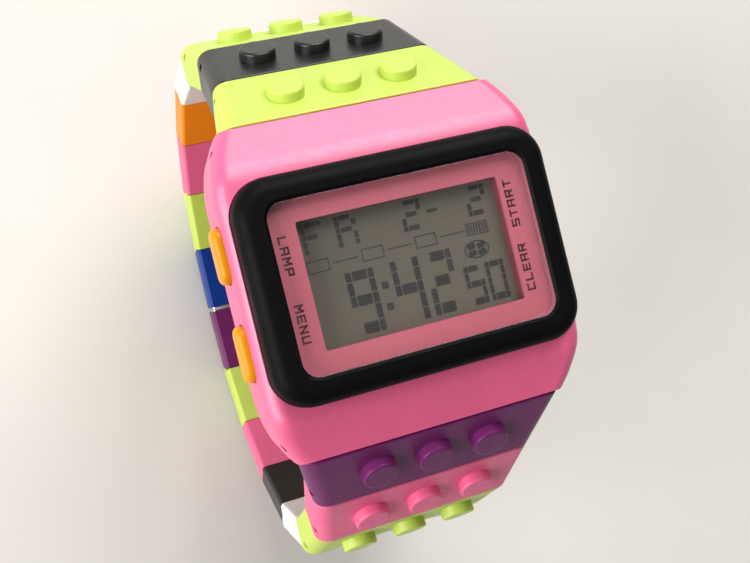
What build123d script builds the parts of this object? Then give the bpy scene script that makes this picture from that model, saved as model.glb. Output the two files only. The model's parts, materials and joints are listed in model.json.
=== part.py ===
from build123d import *
import math
import os

# Case, seen from the front: x runs to 3 o'clock, y to 12 o'clock, heights are below the display window
case_width = 38.6
case_length = 37.8
shoulder_run = 8.4
shoulder_inset = 2.6
seam_drop = 4.2
case_slope = 30.0
case_top_drop = 1.2
case_depth = 9.6
block_rounding = 2.0
case_bottom_rounding_share = 0.16
shoulder_blend = 5.0
foot_rounding = 1.2

# Bezel
bezel_side_margin = 0.92
bezel_end_margin = 6.32
bezel_wall_x = 3.15
bezel_wall_y = 3.0
bezel_corner = 4.2
bezel_rounding = 1.9
bezel_inner_chamfer = 0.3
bezel_lip = 0.1
bezel_seat = 0.4

# Crystal, mask frame and display
crystal_thickness = 1.6
crystal_chamfer = 0.15
crystal_play = 0.08
mask_border_x = 3.15
mask_border_y = 2.4
mask_thickness = 0.4
mask_lift = 0.05
mask_corner = 1.9
mask_rim = 1.3
mask_rim_gap = 0.05
window_corner = 0.9
window_play = 0.15
glass_border = 1.6
glass_drop = 1.25
glass_thickness = 1.1
glass_corner = 0.4

# Module room inside the case
cavity_side_wall = 3.9
cavity_end_wall = 8.4
cavity_corner = 3.5
cavity_ceiling = 2.2
back_side_margin = 2.6
back_end_margin = 6.4
back_corner = 2.4
back_thickness = 1.0
back_play = 0.1
gasket_inset = 0.25
gasket_width = 0.45
gasket_height = 0.5
screw_inset_x = 1.4
screw_inset_y = 1.7
screw_radius = 0.6
screw_head_radius = 0.95
screw_head_height = 0.5
screw_length = 3.0
screw_slot_width = 0.3
screw_slot_depth = 0.25
hole_play = 0.03

# Module
reflector_share = 0.32
reflector_gap_share = 0.08
reflector_margin = 0.8
strip_width = 1.2
strip_inset = 0.25
board_side_margin = 2.4
board_end_margin = 1.3
board_corner = 1.5
board_height_share = 0.43
board_thickness = 0.8
holder_play = 0.25
holder_roof_gap = 0.1
holder_floor_gap = 0.95
board_play = 0.15
notch_width = 4.6
notch_height = 4.0
chip_radius = 3.2
chip_height_share = 0.48
chip_edge_share = 0.6
chip_offset = 4.0
resonator_x = 3.2
resonator_y = 1.5
resonator_height_share = 0.48
resonator_offset = 5.0
reflector_foot = 1.5
reflector_foot_gap = 0.75
reflector_foot_inset = 1.1
reflector_play = 0.15
cell_margin = 2.5
cell_thickness = 1.6
cell_play = 0.05
cell_edge_share = 0.3
cell_rim = 0.9
cell_rim_step = 0.15
contact_radius = 1.5
contact_hole_radius = 2.0
clip_width = 4.0
clip_end = 0.8
clip_thickness = 0.25
stake_gap = 0.55
stake_radius = 0.4
stake_play = 0.05
sounder_radius = 7.0
sounder_thickness = 0.35

# Push buttons
button_spacing_share = 0.291
button_length = 6.4
button_height = 3.2
button_drop = 4.6
button_proud = 1.0
button_corner = 1.3
button_rounding = 0.7
button_recess = 1.1
button_inner_gap = 0.75
button_play = 0.12
stem_radius = 0.8
stem_play = 0.05
stem_reach = 0.75
groove_width = 0.4
groove_depth = 0.25
retainer_radius = 1.5
retainer_thickness = 0.3
retainer_play = 0.05
retainer_mouth = 0.9
spring_thickness = 0.2
spring_width = 2.0
spring_reach = 1.5
spring_foot = 1.95
spring_gap = 0.7

# Bracelet: link_turns holds each link's turn from the first one, in degrees
link_pitch = 10.6
link_thickness = 5.3
link_turns = (0.0, 5.8, 21.5, 47.0, 72.0, 88.5, 109.0, 126.0)
link_width = 27.0
first_link_end_width = 28.8
link_edge = 0.5
end_rounding = 0.2
seam_gap = 0.12
pin_radius = 0.5
pin_setback = 1.9
pin_depth = 1.5
pin_recess = 0.6
pin_play = 0.01
pin_running_play = 0.06
pin_chamfer = 0.12
eye_wall = 0.42
pocket_play = 0.1
tongue_width = 11.0
tongue_side_play = 0.15
tongue_root = 1.5
stud_pitch = 7.06
stud_radius = 2.25
stud_height = 1.35
stud_rounding = 0.35
studs_in_row = 3

# Clasp in the two end links
clasp_gap = 0.26
clasp_plate = 0.15
clasp_inset = 0.12
magnet_length = 7.0
magnet_depth = 2.2
magnet_height = 2.6
magnet_spacing = 9.0
magnet_play = 0.05

# One overrun for every cut that runs out of its piece, and the limits that tell edge directions apart
overrun = 4.0
along_share = 0.5
across_share = 0.95

os.makedirs("parts", exist_ok=True)
seam_y = case_length / 2
shoulder_width = case_width - 2 * shoulder_inset


def save(part, name):
    """Label a finished piece and write it."""
    part.label = name
    export_step(part, f"parts/{name}.step")


def save_pair(part, name, number):
    """Write a piece of the upper half of the bracelet, and its mirror image in the lower half."""
    save(part, f"{name}_upper_{number}")
    with BuildPart() as lower:
        mirror(part, about=Plane.XZ)
    save(lower.part, f"{name}_lower_{number}")


def heading(angle):
    """Direction along the bracelet in side view (y, z), falling by angle degrees."""
    return Vector(math.cos(math.radians(angle)), -math.sin(math.radians(angle)))


def outward(angle):
    """Direction out of the wrist at the same place."""
    return Vector(math.sin(math.radians(angle)), math.cos(math.radians(angle)))


def leave_circle(center, radius, start, direction):
    """Point where a ray from a start inside a circle leaves it."""
    along = (center - start).dot(direction)
    aside = (center - start).length ** 2 - along**2
    return start + direction * (along + math.sqrt(radius**2 - aside))


def arc_middle(center, radius, first, last):
    """Middle of the arc between two points on a circle."""
    return center + ((first - center) + (last - center)).normalized() * radius


def first_slope():
    """Slope of the first link at which the links of one half close the loop at the middle."""
    cosines = sum(math.cos(math.radians(turn)) for turn in link_turns)
    sines = sum(math.sin(math.radians(turn)) for turn in link_turns)
    reach = link_pitch * math.hypot(cosines, sines)
    ahead = math.acos((clasp_gap / 2 - seam_y) / reach)
    return math.degrees(ahead - math.atan2(sines, cosines))


# Slope of each link, and the corners where their outer faces meet, in side view (y, z)
slopes = [first_slope() + turn for turn in link_turns]
link_count = len(slopes)
corners = [Vector(seam_y, -seam_drop)]
for slope in slopes:
    corners.append(corners[-1] + heading(slope) * link_pitch)
end_widths = [shoulder_width, first_link_end_width] + [link_width] * (link_count - 1)


def stud_foot(index):
    """Lowest point of a link's studs, measured from the display's face."""
    middle = (corners[index] + corners[index + 1]) * 0.5
    along = heading(slopes[index])
    out = outward(slopes[index])
    rim = middle + out * (stud_height - stud_rounding) + along * (stud_radius - stud_rounding)
    return rim.Y - stud_rounding


# The lowest studs stand on z = 0, which gives the height of the display's face
dial_z = -min(stud_foot(index) for index in range(link_count))
corners = [corner + Vector(0, dial_z) for corner in corners]
barrel_radius = math.hypot(pin_setback, pin_depth)
eye_radius = pin_radius + pin_running_play + eye_wall
pocket_radius = eye_radius + pocket_play
pocket_half = tongue_width / 2 + tongue_side_play


def slope_before(index):
    """Slope of the piece before seam index."""
    return slopes[index - 1] if index > 0 else case_slope


def pin_center(index):
    """Axis of the pin at seam index, which the piece before the seam holds."""
    before = slope_before(index)
    return corners[index] - heading(before) * pin_setback - outward(before) * pin_depth


def tail_points(index):
    """Barrel end of the piece before seam index: outer corner, arc middle, arc end and inner point."""
    corner = corners[index]
    inward = -outward((slope_before(index) + slopes[index]) / 2)
    end = leave_circle(pin_center(index), barrel_radius, corner, inward)
    middle = arc_middle(pin_center(index), barrel_radius, corner, end)
    return corner, middle, end, corner + inward * 2 * link_thickness


def head_points(index):
    """Cup end of the link after seam index: outer tip, arc middle, arc end and inner point."""
    middle_slope = (slope_before(index) + slopes[index]) / 2
    start = corners[index] + heading(middle_slope) * seam_gap
    inward = -outward(middle_slope)
    radius = barrel_radius + seam_gap
    tip = leave_circle(pin_center(index), radius, corners[index], heading(slopes[index]))
    end = leave_circle(pin_center(index), radius, start, inward)
    middle = arc_middle(pin_center(index), radius, tip, end)
    return tip, middle, end, start + inward * 2 * link_thickness


def link_plane(index, distance):
    """Plane on a link's outer face, at a distance along it: y runs along the link, z out of the wrist."""
    out = outward(slopes[index])
    origin = corners[index] + heading(slopes[index]) * distance
    return Plane(origin=(0, origin.X, origin.Y), x_dir=(1, 0, 0), z_dir=(0, out.X, out.Y))


def side_location(point):
    """Place of a side view point on the YZ plane."""
    return Locations((point.X, point.Y))


def pocket_side(index):
    """Side view of the pocket in which a tongue swings from the closed loop to straight."""
    pin = pin_center(index)
    reach = barrel_radius + overrun
    with BuildSketch(Plane.YZ) as pocket:
        closed = pin + heading(slopes[index]) * reach
        straight = pin + heading(slope_before(index)) * reach
        for center in (pin, closed, straight):
            with side_location(center):
                Circle(pocket_radius)
        make_hull()
    return pocket.sketch


def tongue_side(index):
    """Side view of the tongue on a link's cup end, round its pin and into its body."""
    root = pin_center(index) + heading(slopes[index]) * (barrel_radius + seam_gap + tongue_root)
    with BuildSketch(Plane.YZ) as tongue:
        for center in (pin_center(index), root):
            with side_location(center):
                Circle(eye_radius)
        make_hull()
    return tongue.sketch


def side_circle(index, radius):
    """Circle round a pin's axis in side view."""
    with BuildSketch(Plane.YZ) as circle:
        with side_location(pin_center(index)):
            Circle(radius)
    return circle.sketch


def runs_along_link(edge):
    """True for the four long edges of a link's block."""
    return abs((edge % 0.5).X) < along_share and edge.length > link_pitch


def slab(index, inset):
    """Tapered block of a link before its ends are cut, inset on every long side."""
    spread = (end_widths[index + 1] - end_widths[index]) / 2 / link_pitch
    near = end_widths[index] / 2 - inset - spread * overrun
    far = end_widths[index + 1] / 2 - inset + spread * overrun
    last = link_pitch + overrun
    plane = link_plane(index, 0)
    depth = link_thickness - 2 * inset
    with BuildPart() as block:
        with BuildSketch(plane.offset(-inset)):
            with BuildLine():
                Polyline((-near, -overrun), (near, -overrun), (far, last), (-far, last), close=True)
            make_face()
        extrude(amount=-depth)
        long_edges = block.edges().filter_by(runs_along_link)
        by_depth = long_edges.sort_by(lambda edge: plane.to_local_coords(edge.center()).Z)
        fillet(by_depth[2:], radius=block_rounding - inset)
        long_edges = block.edges().filter_by(runs_along_link)
        by_depth = long_edges.sort_by(lambda edge: plane.to_local_coords(edge.center()).Z)
        fillet(by_depth[:2], radius=link_edge)
    return block.part


def half_width_at(index, distance):
    """Half width of a link at a distance along it from its first corner."""
    return (end_widths[index] + (end_widths[index + 1] - end_widths[index]) * distance / link_pitch) / 2


# Plan sizes, from the case inwards
button_spacing = case_length * button_spacing_share
bezel_x = case_width - 2 * bezel_side_margin
bezel_y = case_length - 2 * bezel_end_margin
opening_x = bezel_x - 2 * bezel_wall_x
opening_y = bezel_y - 2 * bezel_wall_y
opening_corner = mask_corner + crystal_play
mask_x = opening_x - 2 * crystal_play
mask_y = opening_y - 2 * crystal_play
window_x = mask_x - 2 * mask_border_x
window_y = mask_y - 2 * mask_border_y
glass_x = window_x + 2 * glass_border
glass_y = window_y + 2 * glass_border
cavity_x = case_width - 2 * cavity_side_wall
cavity_y = case_length - 2 * cavity_end_wall
back_x = case_width - 2 * back_side_margin
back_y = case_length - 2 * back_end_margin
screw_x = back_x / 2 - screw_inset_x
screw_y = back_y / 2 - screw_inset_y
board_x = cavity_x - 2 * board_side_margin
board_y = cavity_y - 2 * board_end_margin
strip_y = glass_y / 2 - strip_inset - strip_width / 2
cell_radius = cavity_y / 2 - cell_margin
stake_y = cell_radius + cell_play + stake_gap + stake_radius
case_straight = case_length / 2 - shoulder_run
shoulder_radius = (shoulder_run**2 + shoulder_inset**2) / (2 * shoulder_inset)
shoulder_y = seam_y - (seam_drop - case_top_drop) / math.tan(math.radians(case_slope))

# Levels: the bezel stack from the window up, the module between the display and the case back
mask_bottom = dial_z + mask_lift
mask_top = mask_bottom + mask_thickness
crystal_top = mask_top + crystal_thickness
case_top = dial_z - case_top_drop
case_bottom = dial_z - case_depth
bezel_bottom = case_top - bezel_seat
glass_top = dial_z - glass_drop
glass_bottom = glass_top - glass_thickness
ceiling_z = dial_z - cavity_ceiling
floor_z = case_bottom + back_thickness
holder_top = glass_bottom - holder_roof_gap
holder_bottom = floor_z + holder_floor_gap
cell_top = holder_bottom + cell_thickness
strip_height = (glass_bottom - cell_top - board_thickness) * board_height_share
board_top = glass_bottom - strip_height
board_bottom = board_top - board_thickness
reflector_top = glass_bottom - strip_height * reflector_gap_share
reflector_bottom = reflector_top - strip_height * reflector_share
chip_height = strip_height * chip_height_share
resonator_height = strip_height * resonator_height_share
button_z = dial_z - button_drop


def case_half_width(y):
    """Half width of the case on its curved shoulder."""
    return case_width / 2 - shoulder_radius + math.sqrt(shoulder_radius**2 - (y - case_straight) ** 2)


def runs_along_case(edge):
    """True for the edges that follow the case's outline from one strap end to the other."""
    direction = edge % 0.5
    return abs(direction.X) < across_share and abs(direction.Z) < across_share


def button_plane(side, end, distance):
    """Plane across a button's axis, at a distance from the middle of the case and facing out."""
    return Plane(
        origin=(side * distance, end * button_spacing / 2, button_z),
        x_dir=(0, side, 0),
        z_dir=(side, 0, 0),
    )


# Case: built as its 12 o'clock half and mirrored, then opened for the display, the module and the buttons
recess_x = case_width / 2 - button_recess
with BuildPart() as case:
    run_y = seam_y + pin_setback
    run_z = dial_z - seam_drop - pin_setback * math.tan(math.radians(case_slope))
    with BuildSketch(Plane.YZ):
        with BuildLine():
            FilletPolyline((0, case_top), (shoulder_y, case_top), (run_y, run_z), radius=shoulder_blend)
            Polyline((run_y, run_z), (run_y, case_bottom), (0, case_bottom), (0, case_top))
        make_face()
    extrude(amount=case_width / 2, both=True)
    with BuildSketch(Plane.XY.offset(case_bottom)):
        with BuildLine():
            wide = case_width / 2
            bend_y = (case_straight + run_y) / 2
            bend_x = case_half_width(bend_y)
            run_x = case_half_width(run_y)
            Polyline((-wide, case_straight), (-wide, 0), (wide, 0), (wide, case_straight))
            ThreePointArc((wide, case_straight), (bend_x, bend_y), (run_x, run_y))
            Line((run_x, run_y), (-run_x, run_y))
            ThreePointArc((-run_x, run_y), (-bend_x, bend_y), (-wide, case_straight))
        make_face()
    extrude(amount=case_depth, mode=Mode.INTERSECT)
    rails = case.edges().filter_by(runs_along_case)
    fillet(rails.filter_by(lambda edge: edge.center().Z > run_z), radius=block_rounding)
    rails = case.edges().filter_by(runs_along_case)
    fillet(rails.group_by(Axis.Z)[0], radius=case_depth * case_bottom_rounding_share)

    # Barrel end with the pocket and the pin bore for the first link
    corner, middle, end, inner = tail_points(0)
    foot = end + (inner - end) * ((end.Y - case_bottom) / (end.Y - inner.Y))
    above = corner + outward(case_slope) * overrun
    with BuildSketch(Plane.YZ):
        with BuildLine():
            ThreePointArc(corner, middle, end)
            FilletPolyline(end, foot, (0, case_bottom), radius=foot_rounding)
            Polyline((0, case_bottom), (0, above.Y), above, corner)
        make_face()
    extrude(amount=case_width, both=True, mode=Mode.INTERSECT)
    bore = side_circle(0, pin_radius + pin_play)
    extrude(pocket_side(0), amount=pocket_half, both=True, mode=Mode.SUBTRACT)
    extrude(bore, amount=case_width, both=True, mode=Mode.SUBTRACT)
    mirror(about=Plane.XZ)

    # Seat of the bezel, and the collar that carries the mask frame inside it
    with BuildSketch(Plane.XY.offset(bezel_bottom)):
        RectangleRounded(bezel_x + 2 * crystal_play, bezel_y + 2 * crystal_play,
                         radius=bezel_corner + crystal_play)
    extrude(amount=overrun, mode=Mode.SUBTRACT)
    with BuildSketch(Plane.XY.offset(bezel_bottom)):
        RectangleRounded(mask_x, mask_y, radius=mask_corner)
    extrude(amount=mask_bottom - bezel_bottom)
    with BuildSketch(Plane.XY.offset(ceiling_z)):
        RectangleRounded(glass_x + 2 * window_play, glass_y + 2 * window_play, radius=glass_corner)
    extrude(amount=overrun, mode=Mode.SUBTRACT)

    # Module room, seat of the case back, gasket groove and screw holes
    with BuildSketch(Plane.XY.offset(case_bottom)):
        RectangleRounded(cavity_x, cavity_y, radius=cavity_corner)
    extrude(amount=ceiling_z - case_bottom, mode=Mode.SUBTRACT)
    with BuildSketch(Plane.XY.offset(case_bottom)):
        RectangleRounded(back_x + 2 * back_play, back_y + 2 * back_play,
                         radius=back_corner + back_play)
    extrude(amount=back_thickness, mode=Mode.SUBTRACT)
    gasket_reach = gasket_inset + gasket_width
    with BuildSketch(Plane.XY.offset(floor_z)):
        RectangleRounded(cavity_x + 2 * gasket_reach, cavity_y + 2 * gasket_reach,
                         radius=cavity_corner + gasket_reach)
        RectangleRounded(cavity_x + 2 * gasket_inset, cavity_y + 2 * gasket_inset,
                         radius=cavity_corner + gasket_inset, mode=Mode.SUBTRACT)
    extrude(amount=gasket_height, mode=Mode.SUBTRACT)
    with BuildSketch(Plane.XY.offset(case_bottom)):
        with GridLocations(2 * screw_x, 2 * screw_y, 2, 2):
            Circle(screw_radius + pin_play)
    extrude(amount=screw_length + pin_play, mode=Mode.SUBTRACT)

    # Recess and stem hole of each push button
    for side in (-1, 1):
        for end_side in (-1, 1):
            with BuildSketch(button_plane(side, end_side, recess_x)):
                RectangleRounded(button_length + 2 * button_play, button_height + 2 * button_play,
                                 radius=button_corner + button_play)
            extrude(amount=overrun, mode=Mode.SUBTRACT)
            with BuildSketch(button_plane(side, end_side, recess_x)):
                Circle(stem_radius + stem_play)
            extrude(amount=-overrun, mode=Mode.SUBTRACT)
save(case.part, "case")

with BuildPart() as bezel:
    with BuildSketch(Plane.XY.offset(bezel_bottom)):
        RectangleRounded(bezel_x, bezel_y, radius=bezel_corner)
    extrude(amount=crystal_top + bezel_lip - bezel_bottom)
    fillet(bezel.faces().sort_by(Axis.Z)[-1].edges(), radius=bezel_rounding)
    with BuildSketch(Plane.XY.offset(bezel_bottom)):
        RectangleRounded(opening_x, opening_y, radius=opening_corner)
    extrude(amount=overrun, mode=Mode.SUBTRACT)
    chamfer(bezel.faces().sort_by(Axis.Z)[-1].inner_wires().edges(), length=bezel_inner_chamfer)
save(bezel.part, "bezel")

with BuildPart() as crystal:
    with BuildSketch(Plane.XY.offset(mask_top)):
        RectangleRounded(mask_x, mask_y, radius=mask_corner)
    extrude(amount=crystal_thickness)
    chamfer(crystal.faces().sort_by(Axis.Z)[-1].edges(), length=crystal_chamfer)
save(crystal.part, "crystal")

with BuildPart() as mask_frame:
    with BuildSketch(Plane.XY.offset(mask_bottom)):
        RectangleRounded(mask_x, mask_y, radius=mask_corner)
    extrude(amount=mask_thickness)
    with BuildSketch(Plane.XY.offset(mask_bottom)):
        RectangleRounded(window_x + 2 * mask_rim, window_y + 2 * mask_rim, radius=window_corner)
    extrude(amount=glass_top + mask_rim_gap - mask_bottom)
    with BuildSketch(Plane.XY.offset(mask_top)):
        RectangleRounded(window_x, window_y, radius=window_corner)
    extrude(amount=-overrun, mode=Mode.SUBTRACT)
save(mask_frame.part, "mask_frame")

with BuildPart() as display_glass:
    with BuildSketch(Plane.XY.offset(glass_bottom)):
        RectangleRounded(glass_x, glass_y, radius=glass_corner)
    extrude(amount=glass_thickness)
save(display_glass.part, "display_glass")

# Reflector behind the display, on four feet that stand on the board inside the contact springs
stem_tip_x = cavity_x / 2 - stem_reach
leaf_x = stem_tip_x - spring_gap
reflector_x = window_x + 2 * reflector_margin
reflector_y = 2 * (strip_y - strip_width / 2 - reflector_play)
foot_x = leaf_x - spring_foot - reflector_foot_gap - reflector_foot / 2
foot_y = (reflector_y - reflector_foot) / 2 - reflector_foot_inset
with BuildPart() as reflector:
    with BuildSketch(Plane.XY.offset(reflector_bottom)):
        Rectangle(reflector_x, reflector_y)
    extrude(amount=reflector_top - reflector_bottom)
    with BuildSketch(Plane.XY.offset(board_top)):
        with GridLocations(2 * foot_x, 2 * foot_y, 2, 2):
            Rectangle(reflector_foot, reflector_foot)
    extrude(amount=reflector_bottom - board_top)
save(reflector.part, "reflector")

# Zebra strips: rubber connectors from the board up to the display glass
with BuildPart() as zebra_strips:
    with BuildSketch(Plane.XY.offset(board_top)):
        with GridLocations(0, 2 * strip_y, 1, 2):
            Rectangle(window_x, strip_width)
    extrude(amount=glass_bottom - board_top)
save(zebra_strips.part, "zebra_strips")

with BuildPart() as circuit_board:
    with BuildSketch(Plane.XY.offset(board_bottom)):
        RectangleRounded(board_x, board_y, radius=board_corner)
    extrude(amount=board_thickness)
    with BuildSketch(Plane.XY.offset(board_top)):
        with Locations((-chip_offset, 0)):
            Circle(chip_radius)
    extrude(amount=chip_height)
    fillet(circuit_board.edges().sort_by(Axis.Z)[-1], radius=chip_height * chip_edge_share)
    with BuildSketch(Plane.XY.offset(board_top)):
        with Locations((resonator_offset, 0)):
            Rectangle(resonator_y, resonator_x)
    extrude(amount=resonator_height)
    with BuildSketch(Plane.XY.offset(board_bottom)):
        Circle(contact_radius)
    extrude(amount=cell_top + cell_play - board_bottom)
save(circuit_board.part, "circuit_board")

# Module holder: board pocket from above, cell pocket from below, notches for the button stems
with BuildPart() as module_holder:
    with BuildSketch(Plane.XY.offset(holder_bottom)):
        RectangleRounded(cavity_x - 2 * holder_play, cavity_y - 2 * holder_play,
                         radius=cavity_corner - holder_play)
    extrude(amount=holder_top - holder_bottom)
    with BuildSketch(Plane.XY.offset(board_bottom)):
        RectangleRounded(board_x + 2 * board_play, board_y + 2 * board_play,
                         radius=board_corner + board_play)
    extrude(amount=overrun, mode=Mode.SUBTRACT)
    with BuildSketch(Plane.XY.offset(holder_bottom)):
        Circle(cell_radius + cell_play)
    extrude(amount=cell_top - holder_bottom, mode=Mode.SUBTRACT)
    with BuildSketch(Plane.XY.offset(holder_bottom)):
        Circle(contact_hole_radius)
    extrude(amount=board_top - holder_bottom, mode=Mode.SUBTRACT)
    with BuildSketch(Plane.XY.offset(button_z - notch_height / 2)):
        with GridLocations(cavity_x, button_spacing, 2, 2):
            Rectangle(cavity_x - board_x, notch_width)
    extrude(amount=overrun, mode=Mode.SUBTRACT)
    with BuildSketch(Plane.XY.offset(holder_bottom)):
        with GridLocations(0, 2 * stake_y, 1, 2):
            Circle(stake_radius)
    extrude(amount=-clip_thickness)
save(module_holder.part, "module_holder")

with BuildPart() as coin_cell:
    with BuildSketch(Plane.XY.offset(holder_bottom)):
        Circle(cell_radius)
    extrude(amount=cell_thickness)
    fillet(coin_cell.edges().group_by(Axis.Z)[0], radius=cell_thickness * cell_edge_share)
    with BuildSketch(Plane.XY.offset(cell_top)):
        Circle(cell_radius)
        Circle(cell_radius - cell_rim, mode=Mode.SUBTRACT)
    extrude(amount=-cell_rim_step, mode=Mode.SUBTRACT)
save(coin_cell.part, "coin_cell")

with BuildPart() as battery_clip:
    with BuildSketch(Plane.XY.offset(holder_bottom)):
        Rectangle(clip_width, 2 * (stake_y + clip_end))
        with GridLocations(0, 2 * stake_y, 1, 2):
            Circle(stake_radius + stake_play, mode=Mode.SUBTRACT)
    extrude(amount=-clip_thickness)
save(battery_clip.part, "battery_clip")

with BuildPart() as sounder:
    with BuildSketch(Plane.XY.offset(floor_z)):
        Circle(sounder_radius)
    extrude(amount=sounder_thickness)
save(sounder.part, "sounder")

with BuildPart() as gasket:
    with BuildSketch(Plane.XY.offset(floor_z)):
        RectangleRounded(cavity_x + 2 * gasket_reach, cavity_y + 2 * gasket_reach,
                         radius=cavity_corner + gasket_reach)
        RectangleRounded(cavity_x + 2 * gasket_inset, cavity_y + 2 * gasket_inset,
                         radius=cavity_corner + gasket_inset, mode=Mode.SUBTRACT)
    extrude(amount=gasket_height)
save(gasket.part, "gasket")

with BuildPart() as case_back:
    with BuildSketch(Plane.XY.offset(case_bottom)):
        RectangleRounded(back_x, back_y, radius=back_corner)
        with GridLocations(2 * screw_x, 2 * screw_y, 2, 2):
            Circle(screw_radius + hole_play, mode=Mode.SUBTRACT)
    extrude(amount=back_thickness)
    with BuildSketch(Plane.XY.offset(case_bottom)):
        with GridLocations(2 * screw_x, 2 * screw_y, 2, 2):
            Circle(screw_head_radius + hole_play)
    extrude(amount=screw_head_height, mode=Mode.SUBTRACT)
save(case_back.part, "case_back")

with BuildPart() as case_back_screws:
    with BuildSketch(Plane.XY.offset(case_bottom)):
        with GridLocations(2 * screw_x, 2 * screw_y, 2, 2):
            Circle(screw_radius)
    extrude(amount=screw_length)
    with BuildSketch(Plane.XY.offset(case_bottom)):
        with GridLocations(2 * screw_x, 2 * screw_y, 2, 2):
            Circle(screw_head_radius)
    extrude(amount=screw_head_height)
    with BuildSketch(Plane.XY.offset(case_bottom)):
        with GridLocations(2 * screw_x, 2 * screw_y, 2, 2):
            Rectangle(3 * screw_head_radius, screw_slot_width)
    extrude(amount=screw_slot_depth, mode=Mode.SUBTRACT)
save(case_back_screws.part, "case_back_screws")

# Contact springs: a foot on the board and a leaf in front of each stem
leaf_bottom = button_z - spring_reach
with BuildPart() as contact_springs:
    for side in (-1, 1):
        for end_side in (-1, 1):
            with BuildSketch(Plane.XY.offset(board_top)):
                with Locations((side * (leaf_x - spring_foot / 2), end_side * button_spacing / 2)):
                    Rectangle(spring_foot, spring_width)
            extrude(amount=spring_thickness)
            with BuildSketch(Plane.XY.offset(board_top)):
                with Locations((side * (leaf_x - spring_thickness / 2), end_side * button_spacing / 2)):
                    Rectangle(spring_thickness, spring_width)
            extrude(amount=leaf_bottom - board_top)
save(contact_springs.part, "contact_springs")

# Push buttons: cap in the recess, stem through the case wall, groove for the retaining clip
cap_back_x = recess_x + button_inner_gap
cap_front_x = case_width / 2 + button_proud
retainer_x = cavity_x / 2 - retainer_play
for side, side_name in ((-1, "left"), (1, "right")):
    for end_side, end_name in ((-1, "lower"), (1, "upper")):
        with BuildPart() as button:
            with BuildSketch(button_plane(side, end_side, cap_back_x)):
                RectangleRounded(button_length, button_height, radius=button_corner)
            extrude(amount=cap_front_x - cap_back_x)
            fillet(button.edges().group_by(Axis.X)[-1 if side > 0 else 0], radius=button_rounding)
            with BuildSketch(button_plane(side, end_side, stem_tip_x)):
                Circle(stem_radius)
            extrude(amount=cap_back_x - stem_tip_x)
            with BuildSketch(button_plane(side, end_side, cavity_x / 2 - groove_width)):
                Circle(2 * stem_radius)
                Circle(stem_radius - groove_depth, mode=Mode.SUBTRACT)
            extrude(amount=groove_width, mode=Mode.SUBTRACT)
        save(button.part, f"button_{side_name}_{end_name}")
        with BuildPart() as retainer:
            with BuildSketch(button_plane(side, end_side, retainer_x)):
                Circle(retainer_radius)
                Circle(stem_radius - groove_depth + stem_play, mode=Mode.SUBTRACT)
                with Locations((0, -retainer_radius)):
                    Rectangle(retainer_mouth, 2 * retainer_radius, mode=Mode.SUBTRACT)
            extrude(amount=-retainer_thickness)
        save(retainer.part, f"retainer_{side_name}_{end_name}")

# Lug pins, one at each end of the case
lug_half = case_half_width(pin_center(0).X) - pin_recess
with BuildPart() as lug_pins:
    with BuildSketch(Plane.YZ.offset(-lug_half)):
        with side_location(pin_center(0)):
            Circle(pin_radius)
    extrude(amount=2 * lug_half)
    chamfer(lug_pins.edges().filter_by(GeomType.CIRCLE), length=pin_chamfer)
    mirror(about=Plane.XZ)
save(lug_pins.part, "lug_pins")

def at_outer_end(edge):
    """True for the edges round the outer side of both ends of the link on outer_plane."""
    place = outer_plane.to_local_coords(edge.center())
    return abs(place.Y) > link_pitch / 4 and place.Z > -block_rounding / 2


def on_stud_top(edge):
    """True for the top edges of the studs of the link on outer_plane."""
    return outer_plane.to_local_coords(edge.center()).Z > stud_height / 2 + stud_rounding


# Links: cup end towards the case, barrel end away from it, tongue in the pocket of the piece before
plate_y = clasp_gap / 2
for index in range(link_count):
    out = outward(slopes[index])
    tip, cup_middle, cup_end, cup_inner = head_points(index)
    with BuildPart() as link:
        add(slab(index, 0))
        with BuildSketch(Plane.YZ):
            with BuildLine():
                ThreePointArc(tip, cup_middle, cup_end)
                if index < link_count - 1:
                    corner, middle, end, inner = tail_points(index + 1)
                    ThreePointArc(end, middle, corner)
                    Polyline(cup_end, cup_inner, inner, end)
                    Polyline(corner, corner + out * overrun, tip + out * overrun, tip)
                else:
                    face_y = plate_y + clasp_plate
                    inner = Vector(face_y, corners[-1].Y + 2 * link_thickness)
                    outer = Vector(face_y, corners[-1].Y - overrun)
                    Polyline(cup_end, cup_inner, inner, outer, tip + out * overrun, tip)
            make_face()
        extrude(amount=case_width, both=True, mode=Mode.INTERSECT)
        outer_plane = link_plane(index, link_pitch / 2)
        fillet(link.edges().filter_by(at_outer_end), radius=end_rounding)
        if index < link_count - 1:
            bore = side_circle(index + 1, pin_radius + pin_play)
            extrude(pocket_side(index + 1), amount=pocket_half, both=True, mode=Mode.SUBTRACT)
            extrude(bore, amount=case_width, both=True, mode=Mode.SUBTRACT)
        extrude(tongue_side(index), amount=tongue_width / 2, both=True)
        eye = side_circle(index, pin_radius + pin_running_play)
        extrude(eye, amount=tongue_width, both=True, mode=Mode.SUBTRACT)
        with BuildSketch(link_plane(index, link_pitch / 2).offset(-link_edge)):
            with GridLocations(stud_pitch, 0, studs_in_row, 1):
                Circle(stud_radius)
        extrude(amount=stud_height + link_edge)
        fillet(link.edges().filter_by(on_stud_top), radius=stud_rounding)
        if index == link_count - 1:
            magnet_z = corners[-1].Y + link_thickness / 2
            with BuildSketch(Plane.XZ.offset(-face_y)):
                with Locations((0, magnet_z)):
                    with GridLocations(magnet_spacing, 0, 2, 1):
                        Rectangle(magnet_length + 2 * magnet_play, magnet_height + 2 * magnet_play)
            extrude(amount=-magnet_depth - magnet_play, mode=Mode.SUBTRACT)
    save_pair(link.part, "link", index + 1)

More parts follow.
